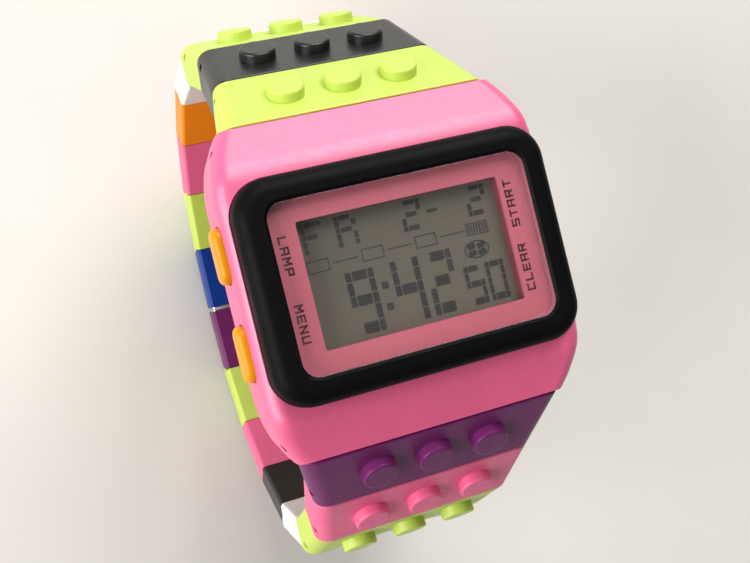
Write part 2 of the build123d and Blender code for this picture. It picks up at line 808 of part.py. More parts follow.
# Link pins, each held by the link whose barrel end it crosses
for index in range(1, link_count):
    half = half_width_at(index - 1, link_pitch - pin_setback) - pin_recess
    with BuildPart() as link_pin:
        with BuildSketch(Plane.YZ.offset(-half)):
            with side_location(pin_center(index)):
                Circle(pin_radius)
        extrude(amount=2 * half)
        chamfer(link_pin.edges().filter_by(GeomType.CIRCLE), length=pin_chamfer)
    save_pair(link_pin.part, "link_pin", index)

# Clasp: a plate on the end of each half, and two magnets behind it
with BuildPart() as clasp_plate_upper:
    add(slab(link_count - 1, clasp_inset))
    with BuildSketch(Plane.YZ):
        with Locations((plate_y + clasp_plate / 2, corners[-1].Y)):
            Rectangle(clasp_plate, 4 * link_thickness)
    extrude(amount=case_width, both=True, mode=Mode.INTERSECT)
save(clasp_plate_upper.part, "clasp_plate_upper")
with BuildPart() as clasp_plate_lower:
    mirror(clasp_plate_upper.part, about=Plane.XZ)
save(clasp_plate_lower.part, "clasp_plate_lower")
with BuildPart() as magnets_upper:
    with BuildSketch(Plane.XZ.offset(-plate_y - clasp_plate)):
        with Locations((0, corners[-1].Y + link_thickness / 2)):
            with GridLocations(magnet_spacing, 0, 2, 1):
                Rectangle(magnet_length, magnet_height)
    extrude(amount=-magnet_depth)
save(magnets_upper.part, "magnets_upper")
with BuildPart() as magnets_lower:
    mirror(magnets_upper.part, about=Plane.XZ)
save(magnets_lower.part, "magnets_lower")
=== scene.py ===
import json
import math

import bpy
from mathutils import Matrix, Vector


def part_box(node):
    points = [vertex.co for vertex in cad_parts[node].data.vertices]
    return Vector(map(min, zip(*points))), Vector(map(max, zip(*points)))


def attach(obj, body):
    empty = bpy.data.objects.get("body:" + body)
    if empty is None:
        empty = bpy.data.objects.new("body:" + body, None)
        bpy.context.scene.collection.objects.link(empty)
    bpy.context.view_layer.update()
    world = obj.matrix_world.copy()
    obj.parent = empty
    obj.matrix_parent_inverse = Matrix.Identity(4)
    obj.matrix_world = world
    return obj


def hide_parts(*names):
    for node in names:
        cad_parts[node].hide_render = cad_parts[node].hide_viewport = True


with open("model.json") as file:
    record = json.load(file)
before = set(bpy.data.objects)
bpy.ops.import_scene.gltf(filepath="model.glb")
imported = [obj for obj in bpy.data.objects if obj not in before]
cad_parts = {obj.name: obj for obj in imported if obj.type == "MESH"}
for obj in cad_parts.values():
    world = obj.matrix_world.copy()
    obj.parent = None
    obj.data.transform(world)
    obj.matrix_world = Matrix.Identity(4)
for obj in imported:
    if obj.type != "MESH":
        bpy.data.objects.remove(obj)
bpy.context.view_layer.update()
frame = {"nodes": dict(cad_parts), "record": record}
nodes = frame["nodes"]

# Unit, tolerances, and the levels that come from the frame
MM = 0.001
same_place = 1e-9
same_level = 1e-7
same_side = 1e-6
round_profile = 0.5
mask_print_lift = 0.45 * MM
mask_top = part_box("mask_frame")[1].z
window_plane = mask_top - mask_print_lift
glass_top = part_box("display_glass")[1].z
crystal_low, crystal_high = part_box("crystal")

# Crystal
crystal_corner = 1.9 * MM
crystal_edge = 0.05 * MM
crystal_film_gap = 0.03 * MM
crystal_edge_segments = 2
corner_segments = 10
crystal_smooth_angle = 15.0

# Mask frame: a printed plate with the window in it, and below it the rim that is the window's wall,
# coloured dark red-brown as painted shade
mask_plate = 0.40 * MM
mask_border_x = 3.15 * MM
mask_border_y = 2.40 * MM
mask_rim = 1.30 * MM
window_corner = 0.30 * MM
window_corner_segments = 4

# Printed words on the mask frame: each letter is a set of strokes in a cell one wide and one high
strokes = {
    "A": [[(0.0, 0.0), (0.0, 1.0), (1.0, 1.0), (1.0, 0.0)], [(0.0, 0.45), (1.0, 0.45)]],
    "C": [[(1.0, 1.0), (0.0, 1.0), (0.0, 0.0), (1.0, 0.0)]],
    "E": [[(1.0, 1.0), (0.0, 1.0), (0.0, 0.0), (1.0, 0.0)], [(0.0, 0.5), (0.85, 0.5)]],
    "L": [[(0.0, 1.0), (0.0, 0.0), (1.0, 0.0)]],
    "M": [[(0.0, 0.0), (0.0, 1.0), (0.5, 0.45), (1.0, 1.0), (1.0, 0.0)]],
    "N": [[(0.0, 0.0), (0.0, 1.0), (1.0, 0.0), (1.0, 1.0)]],
    "P": [[(0.0, 0.0), (0.0, 1.0), (1.0, 1.0), (1.0, 0.42), (0.0, 0.42)]],
    "R": [
        [(0.0, 0.0), (0.0, 1.0), (1.0, 1.0), (1.0, 0.48), (0.0, 0.48)],
        [(0.5, 0.48), (1.0, 0.0)],
    ],
    "S": [[(1.0, 1.0), (0.0, 1.0), (0.0, 0.5), (1.0, 0.5), (1.0, 0.0), (0.0, 0.0)]],
    "T": [[(0.0, 1.0), (1.0, 1.0)], [(0.5, 1.0), (0.5, 0.0)]],
    "U": [[(0.0, 1.0), (0.0, 0.0), (1.0, 0.0), (1.0, 1.0)]],
}
letter_width = 0.66 * MM
letter_height = 0.80 * MM
letter_pitch = 1.13 * MM
letter_line = 0.21 * MM
left_word_x = -13.83 * MM
right_word_x = 13.03 * MM
upper_word_y = 3.76 * MM
lower_word_y = -3.68 * MM
words = [
    ("LAMP", left_word_x, upper_word_y, -90.0),
    ("MENU", left_word_x, lower_word_y, -90.0),
    ("START", right_word_x, upper_word_y, 90.0),
    ("CLEAR", right_word_x, lower_word_y, 90.0),
]

# Display marks: every figure is a grid of three columns and five rows of blocks
mark_thickness = 0.02 * MM
shadow_sink = 0.008 * MM
shadow_shift = (-0.24 * MM, -0.10 * MM)
mark_sink = 0.006 * MM
mark_corner = 0.07
mark_corner_segments = 3
mark_line = 0.13 * MM
figures = {
    "0": ("111", "101", "101", "101", "111"),
    "2": ("011", "001", "010", "100", "110"),
    "4": ("101", "101", "111", "001", "001"),
    "5": ("110", "100", "111", "001", "011"),
    "9": ("111", "101", "111", "001", "011"),
    "F": ("111", "100", "110", "100", "100"),
    "R": ("110", "101", "110", "101", "101"),
}
column_shares = (0.235, 0.530, 0.235)
row_shares = (0.165, 0.215, 0.18, 0.25, 0.19)
block_gap_share = 0.034

time_top = 0.56 * MM
time_foot = -6.60 * MM
time_width = 3.45 * MM
time_figures = [("9", -7.65 * MM), ("4", -2.32 * MM), ("2", 1.70 * MM)]
colon_x = -3.29 * MM
colon_side = 0.82 * MM
colon_heights = (-1.80 * MM, -4.23 * MM)
second_top = -2.02 * MM
second_width = 2.36 * MM
second_figures = [("5", 6.09 * MM), ("0", 8.74 * MM)]
day_top = 6.84 * MM
day_foot = 3.32 * MM
day_width = 2.55 * MM
day_letters = [("F", -11.35 * MM), ("R", -7.39 * MM)]
date_figures = [("2", 0.36 * MM), ("2", 8.36 * MM)]
dash_middle = 4.11 * MM
dash_width = 1.27 * MM
dash_height = 0.36 * MM
box_count = 3
box_pitch = 6.40 * MM
first_box_x = -10.22 * MM
box_width = 2.60 * MM
box_height = 1.41 * MM
box_y = 1.95 * MM
link_line_length = 2.98 * MM
chime_x = 8.96 * MM
chime_width = 2.70 * MM
chime_bars = 7
chime_bar_share = 0.55
chime_bar_clearance = 3.2 * mark_line
oval_x = 8.34 * MM
oval_y = -0.37 * MM
oval_width = 3.12 * MM
oval_height = 2.02 * MM
oval_line = 0.16 * MM
oval_corners = 48
oval_step_share = 0.19
oval_part_share = 0.31
oval_part_turn = 14.0


# Modelling helpers
def only(piece):
    """Selects one piece and makes it active."""
    bpy.ops.object.select_all(action="DESELECT")
    piece.select_set(True)
    bpy.context.view_layer.objects.active = piece


def set_in_place(piece):
    """Puts the piece's place, turn and size into its mesh."""
    only(piece)
    bpy.ops.object.transform_apply(location=True, rotation=True, scale=True)


def pick_edges(piece, wanted):
    """Selects, in edit mode, the edges for which wanted(first corner, second corner) is true."""
    only(piece)
    bpy.ops.object.mode_set(mode="EDIT")
    bpy.ops.mesh.select_mode(type="EDGE")
    bpy.ops.mesh.select_all(action="DESELECT")
    bpy.ops.object.mode_set(mode="OBJECT")
    corners = piece.data.vertices
    for edge in piece.data.edges:
        first, second = (corners[index].co for index in edge.vertices)
        edge.select = wanted(first, second)
    bpy.ops.object.mode_set(mode="EDIT")


def leave_edit():
    """Goes back to object mode."""
    bpy.ops.object.mode_set(mode="OBJECT")


def raise_ring(piece, border, height, opening_stretch=1.0):
    """Opens a flat face to a ring with that border, stretches its opening along X and raises it."""
    only(piece)
    bpy.ops.object.mode_set(mode="EDIT")
    bpy.ops.mesh.select_mode(type="FACE")
    bpy.ops.mesh.select_all(action="SELECT")
    bpy.ops.mesh.inset(thickness=border, depth=0.0)
    if opening_stretch != 1.0:
        bpy.ops.transform.resize(value=(opening_stretch, 1.0, 1.0))
    bpy.ops.mesh.delete(type="FACE")
    bpy.ops.mesh.select_all(action="SELECT")
    bpy.ops.mesh.extrude_region_move(TRANSFORM_OT_translate={"value": (0.0, 0.0, height)})
    bpy.ops.mesh.select_all(action="SELECT")
    bpy.ops.mesh.normals_make_consistent(inside=False)
    leave_edit()


def upright(first, second):
    """True for an edge that runs along Z."""
    return (first - second).to_2d().length < same_place


def join_as(name, parts):
    """Joins several new parts into one piece with that name."""
    bpy.ops.object.select_all(action="DESELECT")
    for part in parts:
        part.select_set(True)
    bpy.context.view_layer.objects.active = parts[0]
    if len(parts) > 1:
        bpy.ops.object.join()
    piece = bpy.context.view_layer.objects.active
    piece.name = name
    set_in_place(piece)
    return piece


def fit_on_head(piece, material):
    """Gives a finished piece its material, and lets it ride on the watch head."""
    piece.data.materials.clear()
    piece.data.materials.append(material)
    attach(piece, "watch_head")


# Material helpers
def tone(red, green, blue):
    """A colour given as eight-bit sRGB values, as the linear values that a shader takes."""
    linear = []
    for value in (red, green, blue):
        share = value / 255
        linear.append(share / 12.92 if share <= 0.04045 else ((share + 0.055) / 1.055) ** 2.4)
    return (*linear, 1.0)


def deeper(colour, share):
    """The same linear colour with its brightness multiplied."""
    return (*(min(1.0, channel * share) for channel in colour[:3]), 1.0)


class Finish:
    """A procedural material: a Principled shader with the nodes that drive it."""

    def __init__(self, name):
        self.material = bpy.data.materials.new(name)
        self.material.use_nodes = True
        self.tree = self.material.node_tree
        self.shader = self.tree.nodes["Principled BSDF"]
        self.place = self.tree.nodes.new("ShaderNodeTexCoord").outputs["Object"]

    def link(self, output, socket):
        self.tree.links.new(output, socket)

    def fixed(self, **values):
        """Constant values on the shader's own sockets; an underscore stands for a space."""
        for name, value in values.items():
            self.shader.inputs[name.replace("_", " ")].default_value = value

    def stretched(self, scale):
        """Object coordinates multiplied by a scale per axis."""
        node = self.tree.nodes.new("ShaderNodeMapping")
        node.inputs["Scale"].default_value = scale
        self.link(self.place, node.inputs["Vector"])
        return node.outputs["Vector"]

    def noise(self, scale, detail=2.0, source=None):
        """Cloudy noise from 0 to 1, with the scale in waves per metre."""
        node = self.tree.nodes.new("ShaderNodeTexNoise")
        node.inputs["Scale"].default_value = scale
        node.inputs["Detail"].default_value = detail
        self.link(source or self.place, node.inputs["Vector"])
        return node.outputs[0]

    def cells(self, scale):
        """Distance to the nearest cell middle, for pips and grains."""
        node = self.tree.nodes.new("ShaderNodeTexVoronoi")
        node.inputs["Scale"].default_value = scale
        self.link(self.place, node.inputs["Vector"])
        return node.outputs["Distance"]

    def bands(self, scale, direction="X"):
        """Even bands across one axis."""
        node = self.tree.nodes.new("ShaderNodeTexWave")
        node.bands_direction = direction
        node.inputs["Scale"].default_value = scale
        self.link(self.place, node.inputs["Vector"])
        return node.outputs["Fac"]

    def between(self, value, low, high, start=0.3, end=0.7):
        """value from start to end becomes low to high, with the ends held."""
        node = self.tree.nodes.new("ShaderNodeMapRange")
        node.inputs["From Min"].default_value = start
        node.inputs["From Max"].default_value = end
        node.inputs["To Min"].default_value = low
        node.inputs["To Max"].default_value = high
        self.link(value, node.inputs["Value"])
        return node.outputs["Result"]

    def blend(self, factor, first, second):
        """A colour between two colours or colour outputs."""
        node = self.tree.nodes.new("ShaderNodeMix")
        node.data_type = "RGBA"
        self.link(factor, node.inputs[0])
        for socket, colour in ((node.inputs[6], first), (node.inputs[7], second)):
            if isinstance(colour, tuple):
                socket.default_value = colour
            else:
                self.link(colour, socket)
        return node.outputs[2]

    def add(self, first, second, share):
        """first plus a share of second."""
        node = self.tree.nodes.new("ShaderNodeMath")
        node.operation = "MULTIPLY_ADD"
        self.link(second, node.inputs[0])
        node.inputs[1].default_value = share
        self.link(first, node.inputs[2])
        return node.outputs[0]

    def colour(self, output):
        self.link(output, self.shader.inputs["Base Color"])

    def roughness(self, output):
        self.link(output, self.shader.inputs["Roughness"])

    def bump(self, height, depth, strength=0.5):
        """Surface relief with that depth in metres."""
        node = self.tree.nodes.new("ShaderNodeBump")
        node.inputs["Strength"].default_value = strength
        node.inputs["Distance"].default_value = depth
        self.link(height, node.inputs["Height"])
        self.link(node.outputs["Normal"], self.shader.inputs["Normal"])


# Finishes; scales are in waves or cells per metre
cloud_scale = 90.0
fleck_scale = 900.0
grain_scale = 2600.0
print_dot_scale = 5200.0
track_scale_across = 180.0
track_scale_along = 140.0
layer_scale = 1500.0
pip_scale = 1500.0
acrylic_index = 1.49


def moulded(name, colour, rough=0.42, glow=0.12, gloss=0.5, haze=0.04):
    """Satin moulded plastic, a little cloudy, with a fine mould grain."""
    finish = Finish(name)
    cloud = finish.noise(cloud_scale, detail=3.0)
    fleck = finish.noise(fleck_scale, detail=4.0)
    tint = finish.blend(
        finish.between(cloud, low=0.0, high=1.0), deeper(colour, 0.94), deeper(colour, 1.04)
    )
    finish.colour(
        finish.blend(finish.between(fleck, low=0.0, high=0.35), tint, deeper(colour, 0.88))
    )
    wear = finish.add(cloud, fleck, share=0.6)
    finish.roughness(
        finish.between(wear, low=rough - 0.07, high=rough + 0.08, start=0.4, end=1.2)
    )
    finish.bump(finish.noise(grain_scale, detail=5.0), depth=0.012 * MM, strength=0.35)
    finish.fixed(Subsurface_Weight=glow, Subsurface_Scale=0.8 * MM)
    finish.fixed(Subsurface_Radius=(1.0, 0.6, 0.5))
    finish.fixed(Specular_IOR_Level=gloss, Sheen_Weight=haze, Sheen_Roughness=0.35)
    return finish.material


def metal(name, colour, rough, stretch, depth=0.004 * MM):
    """Drawn or brushed metal, with scratches along the axis that has the smallest stretch."""
    finish = Finish(name)
    streak = finish.noise(1.0, detail=6.0, source=finish.stretched(stretch))
    smudge = finish.noise(cloud_scale * 2, detail=3.0)
    tint = finish.blend(
        finish.between(streak, low=0.0, high=1.0), deeper(colour, 0.82), deeper(colour, 1.1)
    )
    finish.colour(
        finish.blend(finish.between(smudge, low=0.0, high=0.3), tint, deeper(colour, 0.75))
    )
    wear = finish.add(streak, smudge, share=0.5)
    finish.roughness(
        finish.between(wear, low=rough - 0.08, high=rough + 0.12, start=0.4, end=1.1)
    )
    finish.bump(streak, depth=depth, strength=0.5)
    finish.fixed(Metallic=1.0)
    return finish.material


def rubbery(name, colour):
    """Matt rubber with a fine grain and dusty patches."""
    finish = Finish(name)
    dust = finish.noise(cloud_scale * 3, detail=4.0)
    finish.colour(
        finish.blend(finish.between(dust, low=0.0, high=1.0), colour, deeper(colour, 1.6))
    )
    finish.roughness(finish.between(dust, low=0.62, high=0.85))
    finish.bump(finish.noise(grain_scale * 0.7, detail=4.0), depth=0.02 * MM, strength=0.5)
    return finish.material


def printed_film(name, colour, dot_colour):
    """Printed film behind the crystal, with a faint print dot and a slow change of tone."""
    finish = Finish(name)
    slow = finish.noise(cloud_scale * 0.6, detail=2.0)
    dots = finish.cells(print_dot_scale)
    tint = finish.blend(finish.between(slow, low=0.0, high=1.0), colour, deeper(colour, 1.1))
    finish.colour(
        finish.blend(finish.between(dots, low=0.0, high=0.22, start=0.2, end=0.7), tint, dot_colour)
    )
    finish.roughness(finish.between(slow, low=0.42, high=0.55))
    finish.bump(finish.noise(grain_scale, detail=3.0), depth=0.006 * MM, strength=0.3)
    return finish.material


def display_ground(name, colour):
    """Grey-brown face of the display, with the faint sparkle of the sheet behind it."""
    finish = Finish(name)
    slow = finish.noise(cloud_scale * 0.5, detail=2.0)
    sparkle = finish.noise(grain_scale * 1.6, detail=2.0)
    tint = finish.blend(
        finish.between(slow, low=0.0, high=1.0), deeper(colour, 0.93), deeper(colour, 1.08)
    )
    finish.colour(
        finish.blend(finish.between(sparkle, low=0.0, high=0.3), tint, deeper(colour, 1.25))
    )
    finish.roughness(finish.between(sparkle, low=0.3, high=0.42))
    finish.fixed(Specular_IOR_Level=0.25)
    finish.bump(sparkle, depth=0.003 * MM, strength=0.25)
    return finish.material


def ink(name, colour):
    """Dark mark with a slightly uneven tone."""
    finish = Finish(name)
    uneven = finish.noise(fleck_scale, detail=3.0)
    finish.colour(
        finish.blend(
            finish.between(uneven, low=0.0, high=1.0), deeper(colour, 0.85), deeper(colour, 1.2)
        )
    )
    finish.roughness(finish.between(uneven, low=0.4, high=0.55))
    finish.bump(uneven, depth=0.002 * MM, strength=0.3)
    return finish.material


def circuit_lacquer(name, colour, copper):
    """Green lacquer over copper tracks that show as paler lines."""
    finish = Finish(name)
    across = finish.bands(track_scale_across, "X")
    along = finish.bands(track_scale_along, "Y")
    tracks = finish.add(across, along, share=0.8)
    grain = finish.noise(fleck_scale, detail=4.0)
    tint = finish.blend(
        finish.between(grain, low=0.0, high=1.0), deeper(colour, 0.85), deeper(colour, 1.15)
    )
    finish.colour(
        finish.blend(finish.between(tracks, low=0.0, high=0.6, start=1.35, end=1.5), tint, copper)
    )
    finish.roughness(finish.between(grain, low=0.3, high=0.42))
    finish.bump(tracks, depth=0.01 * MM, strength=0.3)
    return finish.material


def layered_rubber(name, pale, dark):
    """Silicone strip with thin carbon layers."""
    finish = Finish(name)
    layers = finish.bands(layer_scale, "X")
    finish.colour(
        finish.blend(finish.between(layers, low=0.0, high=1.0, start=0.4, end=0.6), pale, dark)
    )
    finish.roughness(finish.between(finish.noise(fleck_scale, detail=3.0), low=0.5, high=0.65))
    finish.bump(layers, depth=0.006 * MM, strength=0.4)
    return finish.material


def diffuser(name, colour):
    """White light guide with a field of small moulded pips."""
    finish = Finish(name)
    pips = finish.cells(pip_scale)
    hollow = finish.between(pips, low=0.0, high=1.0, start=0.1, end=0.5)
    finish.colour(finish.blend(hollow, colour, deeper(colour, 0.86)))
    finish.roughness(finish.between(pips, low=0.35, high=0.5, start=0.1, end=0.5))
    finish.bump(pips, depth=0.02 * MM, strength=0.4)
    return finish.material


def clear_plate(name, colour):
    """Clear acrylic with faint polishing marks, which lets lamps reach what is under it."""
    finish = Finish(name)
    haze = finish.noise(fleck_scale * 0.5, detail=4.0)
    finish.colour(
        finish.blend(finish.between(haze, low=0.0, high=1.0), colour, deeper(colour, 0.985))
    )
    finish.roughness(finish.between(haze, low=0.0, high=0.03))
    finish.bump(finish.noise(cloud_scale * 1.5, detail=2.0), depth=0.004 * MM, strength=0.1)
    finish.fixed(Transmission_Weight=1.0, IOR=acrylic_index)
    tree = finish.tree
    rays = tree.nodes.new("ShaderNodeLightPath")
    either = tree.nodes.new("ShaderNodeMath")
    either.operation = "MAXIMUM"
    finish.link(rays.outputs["Is Shadow Ray"], either.inputs[0])
    finish.link(rays.outputs["Is Diffuse Ray"], either.inputs[1])
    open_way = tree.nodes.new("ShaderNodeBsdfTransparent")
    mixer = tree.nodes.new("ShaderNodeMixShader")
    finish.link(either.outputs[0], mixer.inputs[0])
    finish.link(finish.shader.outputs[0], mixer.inputs[1])
    finish.link(open_way.outputs[0], mixer.inputs[2])
    finish.link(mixer.outputs[0], tree.nodes["Material Output"].inputs["Surface"])
    return finish.material


pink = tone(237, 97, 143)
lime = tone(196, 218, 84)
black = tone(27, 27, 28)
white = tone(246, 243, 241)
orange = tone(254, 138, 0)
blue = tone(8, 54, 142)
purple = tone(108, 32, 94)
along_x = (60.0, 2400.0, 2400.0)
across_x = (2400.0, 60.0, 2400.0)
fine_scratch = 0.001 * MM

finishes = {
    "pink_plastic": moulded("pink_plastic", pink, rough=0.48, gloss=0.8),
    "lime_plastic": moulded("lime_plastic", lime, rough=0.52, gloss=0.95),
    "black_plastic": moulded(
        "black_plastic", black, rough=0.36, glow=0.0, gloss=0.55, haze=0.0
    ),
    "white_plastic": moulded("white_plastic", white),
    "orange_plastic": moulded("orange_plastic", orange, gloss=0.3),
    "blue_plastic": moulded("blue_plastic", blue, rough=0.4, glow=0.05, gloss=0.25),
    "purple_plastic": moulded(
        "purple_plastic", purple, rough=0.4, glow=0.08, gloss=0.25
    ),
    "case_pink": moulded("case_pink", pink, rough=0.4, gloss=0.9),
    "bezel_black": moulded(
        "bezel_black", tone(9, 9, 9), rough=0.5, glow=0.0, gloss=0.07, haze=0.0
    ),
    "button_orange": moulded(
        "button_orange", tone(228, 148, 0), rough=0.34, gloss=0.3
    ),
    "holder_plastic": moulded(
        "holder_plastic", tone(34, 34, 36), rough=0.5, glow=0.0, gloss=0.4, haze=0.0
    ),
    "pin_steel": metal("pin_steel", tone(150, 148, 144), rough=0.3, stretch=along_x),
    "plated_steel": metal(
        "plated_steel", tone(222, 222, 224), rough=0.16, stretch=along_x, depth=fine_scratch
    ),
    "magnet_nickel": metal(
        "magnet_nickel", tone(186, 184, 180), rough=0.2, stretch=along_x, depth=fine_scratch
    ),
    "cell_steel": metal("cell_steel", tone(190, 190, 188), rough=0.26, stretch=across_x),
    "spring_steel": metal("spring_steel", tone(178, 176, 170), rough=0.3, stretch=across_x),
    "back_steel": metal("back_steel", tone(184, 184, 186), rough=0.3, stretch=across_x),
    "screw_steel": metal("screw_steel", tone(160, 160, 162), rough=0.28, stretch=along_x),
    "clip_steel": metal("clip_steel", tone(170, 170, 172), rough=0.3, stretch=along_x),
    "sounder_brass": metal("sounder_brass", tone(202, 166, 92), rough=0.28, stretch=along_x),
    "gasket_rubber": rubbery("gasket_rubber", tone(22, 22, 22)),
    "mask_print": printed_film("mask_print", tone(182, 91, 106), tone(160, 72, 88)),
    "lcd_glass": display_ground("lcd_glass", tone(95, 89, 79)),
    "board_green": circuit_lacquer("board_green", tone(24, 92, 48), tone(96, 150, 84)),
    "zebra_rubber": layered_rubber("zebra_rubber", tone(206, 190, 186), tone(40, 38, 38)),
    "white_diffuser": diffuser("white_diffuser", tone(238, 238, 230)),
    "clear_acrylic": clear_plate("clear_acrylic", (0.985, 0.99, 0.99, 1.0)),
}
word_ink = ink("word_ink", tone(64, 2, 14))
mark_ink = ink("mark_ink", tone(34, 32, 29))
shade_ink = ink("shade_ink", tone(86, 81, 72))
# Dark red-brown painted shade for the window's wall under the mask frame, standing in for the
# shadow inside the window
window_wall_painted_shade = ink("window_wall_painted_shade", tone(112, 44, 58))

for entry in frame["record"]["subparts"]:
    dressed = nodes[entry["node"]]
    dressed.data.materials.clear()
    dressed.data.materials.append(finishes[entry["material_slot"]])

# Crystal: a thick clear plate with rounded corners and a polished edge
crystal_size = crystal_high - crystal_low
plate_thickness = crystal_size.z - crystal_film_gap
bpy.ops.object.select_all(action="DESELECT")
bpy.ops.mesh.primitive_cube_add(
    size=1.0,
    location=(0.0, 0.0, crystal_high.z - plate_thickness / 2),
    scale=(crystal_size.x, crystal_size.y, plate_thickness),
)
crystal_plate = bpy.context.object
crystal_plate.name = "crystal_plate"
set_in_place(crystal_plate)
pick_edges(crystal_plate, upright)
bpy.ops.mesh.bevel(
    offset=crystal_corner, segments=corner_segments, profile=round_profile, affect="EDGES"
)
leave_edit()
pick_edges(
    crystal_plate, lambda first, second: min(first.z, second.z) > crystal_high.z - same_level
)
bpy.ops.mesh.bevel(
    offset=crystal_edge, segments=crystal_edge_segments, profile=round_profile, affect="EDGES"
)
leave_edit()
bpy.ops.object.shade_smooth_by_angle(angle=math.radians(crystal_smooth_angle))
fit_on_head(crystal_plate, finishes["clear_acrylic"])
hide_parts("crystal")

# Mask frame: the window's corners are crisper than in the solid
mask_low, mask_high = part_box("mask_frame")
mask_size = mask_high - mask_low
window_x = mask_size.x - 2 * mask_border_x
window_y = mask_size.y - 2 * mask_border_y


def window_ring(outer_x, outer_y, outer_corner, low, high):
    """A flat ring round the window, from one level up to another."""
    bpy.ops.object.select_all(action="DESELECT")
    bpy.ops.mesh.primitive_plane_add(size=1.0)
    ring = bpy.context.object
    ring.scale = (outer_x, outer_y, 1.0)
    set_in_place(ring)
    border = (outer_y - window_y) / 2
    raise_ring(ring, border, high - low, window_x / (outer_x - 2 * border))

    def is_inner(first, second):
        return upright(first, second) and abs(first.x) < window_x / 2 + same_side

    def is_outer(first, second):
        return upright(first, second) and abs(first.x) > window_x / 2 + same_side

    for wanted, corner, segments in (
        (is_inner, window_corner, window_corner_segments),
        (is_outer, outer_corner, corner_segments),
    ):
        pick_edges(ring, wanted)
        bpy.ops.mesh.bevel(offset=corner, segments=segments, profile=round_profile, affect="EDGES")
        leave_edit()
    ring.location = (0.0, 0.0, low)
    set_in_place(ring)
    return ring


mask_print = window_ring(
    mask_size.x, mask_size.y, crystal_corner, mask_high.z - mask_plate, mask_high.z
)
mask_print.name = "mask_print"
fit_on_head(mask_print, finishes["mask_print"])
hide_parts("mask_frame")
# The window's wall under the plate, given the dark red-brown painted shade
window_rim = window_ring(
    window_x + 2 * mask_rim,
    window_y + 2 * mask_rim,
    window_corner,
    mask_low.z,
    mask_high.z - mask_plate,
)
window_rim.name = "window_rim"
fit_on_head(window_rim, window_wall_painted_shade)


# Marks: printed letters and display figures are laid from flat blocks
def mark_blank():
    """A flat block, one unit wide and long, with rounded corners, which every mark copies."""
    bpy.ops.object.select_all(action="DESELECT")
    bpy.ops.mesh.primitive_cube_add(size=1.0, scale=(1.0, 1.0, mark_thickness))
    blank = bpy.context.object
    set_in_place(blank)
    pick_edges(blank, upright)
    bpy.ops.mesh.bevel(
        offset=mark_corner, segments=mark_corner_segments, profile=round_profile, affect="EDGES"
    )
    leave_edit()
    return blank


blank = mark_blank()
mark_level = glass_top + mark_thickness / 2 - mark_sink
word_level = mask_top + mark_thickness / 2 - mark_sink


def block(x, y, width, height, turn=0.0, level=mark_level):
    """A copy of the blank with its own mesh, centred at x and y."""
    copy = blank.copy()
    copy.data = blank.data.copy()
    bpy.context.collection.objects.link(copy)
    copy.location = (x, y, level)
    copy.scale = (width, height, 1.0)
    copy.rotation_euler = (0.0, 0.0, math.radians(turn))
    return copy


def printed_word(text, x, y, turn):
    """One word on the mask frame, centred at x and y and turned to read along the frame's side."""
    reading = Matrix.Translation((x, y, 0.0)) @ Matrix.Rotation(math.radians(turn), 4, "Z")
    bars = []
    for place, letter in enumerate(text):
        start = (place - (len(text) - 1) / 2) * letter_pitch - letter_width / 2
        for line in strokes[letter]:
            corners = [
                reading @ Vector((start + u * letter_width, (v - 0.5) * letter_height, 0.0))
                for u, v in line
            ]
            for first, second in zip(corners, corners[1:]):
                run = second - first
                middle = (first + second) / 2
                bars.append(
                    block(
                        middle.x,
                        middle.y,
                        run.length + letter_line,
                        letter_line,
                        math.degrees(math.atan2(run.y, run.x)),
                        word_level,
                    )
                )
    word = join_as("word_" + text.lower(), bars)
    fit_on_head(word, word_ink)


def figure(symbol, left, top, width, height):
    """The blocks of one figure or letter."""
    gap = block_gap_share * width
    blocks = []
    upper = top
    for row, row_share in zip(figures[symbol], row_shares):
        start = left
        for filled, column_share in zip(row, column_shares):
            if filled == "1":
                middle_x = start + width * column_share / 2
                middle_y = upper - height * row_share / 2
                blocks.append(
                    block(middle_x, middle_y, width * column_share - gap, height * row_share - gap)
                )
            start += width * column_share
        upper -= height * row_share
    return blocks


def outline(x, y, width, height, line, corners=4):
    """A closed line round a box, or round an oval where it has many corners."""
    bpy.ops.object.select_all(action="DESELECT")
    if corners == 4:
        bpy.ops.mesh.primitive_plane_add(size=1.0)
    else:
        bpy.ops.mesh.primitive_circle_add(vertices=corners, radius=0.5, fill_type="NGON")
    ring = bpy.context.object
    ring.scale = (width, height, 1.0)
    set_in_place(ring)
    raise_ring(ring, line, mark_thickness)
    ring.location = (x, y, mark_level - mark_thickness / 2)
    set_in_place(ring)
    return ring


readings = []


def display_piece(name, parts):
    """Joins the parts of one reading on the display."""
    piece = join_as(name, parts)
    fit_on_head(piece, mark_ink)
    readings.append(piece)


for word in words:
    printed_word(*word)

time_parts = []
for symbol, left in time_figures:
    time_parts += figure(symbol, left, time_top, time_width, time_top - time_foot)
for height in colon_heights:
    time_parts.append(block(colon_x, height, colon_side, colon_side))
display_piece("display_time", time_parts)

second_parts = []
for symbol, left in second_figures:
    second_parts += figure(symbol, left, second_top, second_width, second_top - time_foot)
display_piece("display_seconds", second_parts)

day_parts = []
for symbol, left in day_letters:
    day_parts += figure(symbol, left, day_top, day_width, day_top - day_foot)
display_piece("display_day", day_parts)

date_parts = [block(dash_middle, (day_top + day_foot) / 2, dash_width, dash_height)]
for symbol, left in date_figures:
    date_parts += figure(symbol, left, day_top, day_width, day_top - day_foot)
display_piece("display_date", date_parts)

row_parts = []
for step in range(box_count):
    box_x = first_box_x + step * box_pitch
    row_parts.append(outline(box_x, box_y, box_width, box_height, mark_line))
    row_parts.append(block(box_x + box_pitch / 2, box_y, link_line_length, mark_line))
display_piece("display_row", row_parts)

